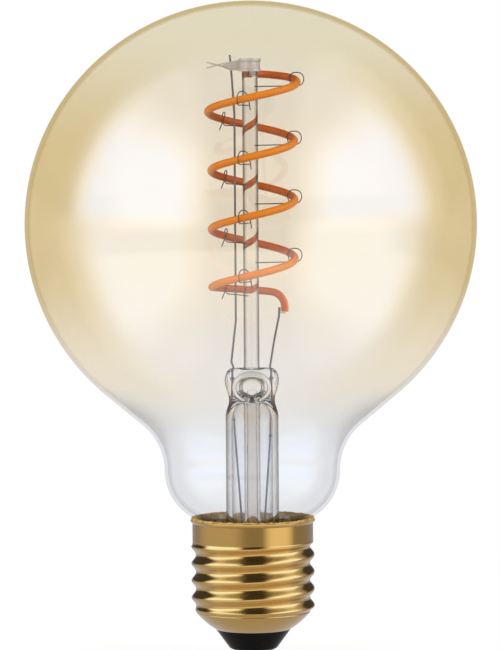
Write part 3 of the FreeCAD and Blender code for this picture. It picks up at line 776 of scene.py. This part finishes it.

# %% [markdown]
# ## Clear glass
#
# The mount is thick glass, so it bends light and its edges look dark. Here a glass shader is worth
# its price. Its colour darkens where the eye grazes it, sooner on the thin rod than on the wide
# tube: this darkening is painted shade, which stands in for the dark edges that thick glass shows.
# A bump makes a rounded lip round the blow hole. Glass in Cycles stops lamp light, so shadow rays
# pass through a clear shader instead, and what is inside stays lit.

# %% The finish of the mount
lip_half_sizes = (2.9, 2.3)
lip_depth = 0.0006
thick = Finish("clear_glass")
rise = thick.along("Z")
rod = rise.between(0.0606, 0.0625)
slant = thick.facing().between(0.20 - 0.15 * rod, 0.75 - 0.28 * rod)
# Painted shade: the colour goes dark where the eye grazes the glass.
shade = thick.blend(slant, (0.93, 0.92, 0.91), (0.14, 0.12, 0.11))
lip_across = thick.along("X") / (lip_half_sizes[0] * MM)
lip_along = (rise - hole_height * MM) / (lip_half_sizes[1] * MM)
lip_ring = (lip_across * lip_across + lip_along * lip_along) ** 0.5
lip = lip_ring.between(0.9, 1.15) * (1.0 - lip_ring.between(1.15, 1.5))
body = thick.principled({"Base Color": shade, "Roughness": 0.0, "IOR": 1.5,
                         "Transmission Weight": 1.0, "Normal": thick.bump(lip, lip_depth)})
lit = thick.clear((0.95, 0.95, 0.95))
clear_glass = thick.surface(thick.mixed(thick.ray("Is Shadow Ray"), body, lit))
print("clear_glass", len(thick.nodes), "nodes")

# %% [markdown]
# ## Brass and the black insulator
#
# The cap is rolled from bright brass sheet under a clear lacquer. So the metal itself is a little
# rough, and a sharper clear coat lies over it. Its stripes are the softboxes and the dark room,
# mirrored in each turn of the thread. The insulator is a smooth black moulding. Its reflections
# are held back, or the white table would turn it grey.

# %% Brass and insulator
def plain_finish(name, colour, roughness, metallic=0.0, **more):
    """A finish of one colour all over."""
    finish = Finish(name)
    values = {"Base Color": colour, "Roughness": roughness, "Metallic": metallic}
    values.update(more)
    return finish.surface(finish.principled(values))


finishes = {"amber_glass": amber_glass, "clear_glass": clear_glass}
finishes["cap_brass"] = plain_finish("cap_brass", (0.60, 0.35, 0.08), 0.14, 1.0,
                                     **{"Coat Weight": 1.0, "Coat Roughness": 0.08})
finishes["black_insulator"] = plain_finish("black_insulator", (0.004, 0.004, 0.004), 0.20,
                                           **{"Specular IOR Level": 0.07})
print("brass and insulator finishes made")

# %% [markdown]
# The wires, the contact and the driver's parts are small or hidden, and one colour each is enough.
# The wires differ in metal: nickel tabs, plain leads, dark support wires, and copper-clad wire
# where a lead is sealed in glass. Each row has a colour, its roughness and how far it is a metal.

# %% Wires and small parts
small_finishes = {
    "nickel": ((0.66, 0.61, 0.60), 0.5, 0.5),
    "lead_wire": ((0.30, 0.26, 0.25), 0.4, 1.0),
    "support_wire": ((0.16, 0.15, 0.16), 0.45, 1.0),
    "sealing_wire": ((0.40, 0.16, 0.12), 0.4, 1.0),
    "copper_wire": ((0.24, 0.20, 0.18), 0.4, 1.0),
    "tinned_wire": ((0.70, 0.70, 0.70), 0.35, 1.0),
    "contact_metal": ((0.70, 0.69, 0.67), 0.3, 1.0),
    "wire_sleeve": ((0.82, 0.82, 0.80), 0.5, 0.0),
    "circuit_board": ((0.08, 0.26, 0.12), 0.5, 0.0),
    "capacitor_sleeve": ((0.05, 0.05, 0.07), 0.4, 0.0),
    "chip_body": ((0.03, 0.03, 0.035), 0.6, 0.0),
    "resistor_coating": ((0.25, 0.37, 0.46), 0.45, 0.0),
}
for name, (colour, roughness, metallic) in small_finishes.items():
    finishes[name] = plain_finish(name, colour, roughness, metallic)
print(len(small_finishes), "small finishes made")

# %% [markdown]
# ## Cement and the filament's coat
#
# Cap cement is a baked, sandy paste. Fine noise mixes two browns and feeds a small bump, so that
# the bead doesn't look moulded.

# %% Cement
grain_scale = 900.0
grain_detail = 4.0
grain_depth = 0.0003
mortar = Finish("cement")
grain = mortar.noise(grain_scale, grain_detail)
sandy = mortar.blend(grain.between(0.35, 0.65), (0.38, 0.22, 0.05), (0.72, 0.50, 0.19))
finishes["cement"] = mortar.surface(mortar.principled({
    "Base Color": sandy, "Roughness": 0.8, "Normal": mortar.bump(grain, grain_depth)}))
print("cement", len(mortar.nodes), "nodes")

# %% [markdown]
# The filament's coat is an orange silicone. The half turns behind the rod show the side that faces
# the axis, which gets less light, and its deeper orange is painted shade. The colour therefore
# follows the way the surface faces: the normal is compared with the direction away from the axis.
# A second material on those faces would do it too, but with a hard edge.

# %% The filament's coat
coated = Finish("filament_coating")
from_axis = coated.vector("MULTIPLY", "Vector", coated.place(), (1.0, 1.0, 0.0))
outward = coated.vector("NORMALIZE", "Vector", from_axis)
normal = coated.node("ShaderNodeNewGeometry").outputs["Normal"]
facing_out = coated.vector("DOT_PRODUCT", "Value", outward, normal)
# The own orange of the coat, and the deeper orange of painted shade on the side that faces the axis.
orange_with_painted_shade = coated.blend(facing_out.between(-0.5, 0.5), (0.52, 0.105, 0.003), (0.76, 0.235, 0.004))
finishes["filament_coating"] = coated.surface(
    coated.principled({"Base Color": orange_with_painted_shade, "Roughness": 0.4}))
print("filament_coating", len(coated.nodes), "nodes")

# %% [markdown]
# ## Finish
#
# The record of the part names a finish for each piece of the frame. The pieces stay as they are
# and only get their material. The three pieces made here get theirs by hand.

# %% Give every piece its finish
for entry in frame["record"]["subparts"]:
    piece = nodes[entry["node"]]
    piece.data.materials.clear()
    piece.data.materials.append(finishes[entry["material_slot"]])
globe.data.materials.append(finishes["amber_glass"])
mount.data.materials.append(finishes["clear_glass"])
ragged.data.materials.append(finishes["cement"])

# %% [markdown]
# The colours are meant to be seen as they are, so the view has no film look.

scene.view_settings.view_transform = "Standard"
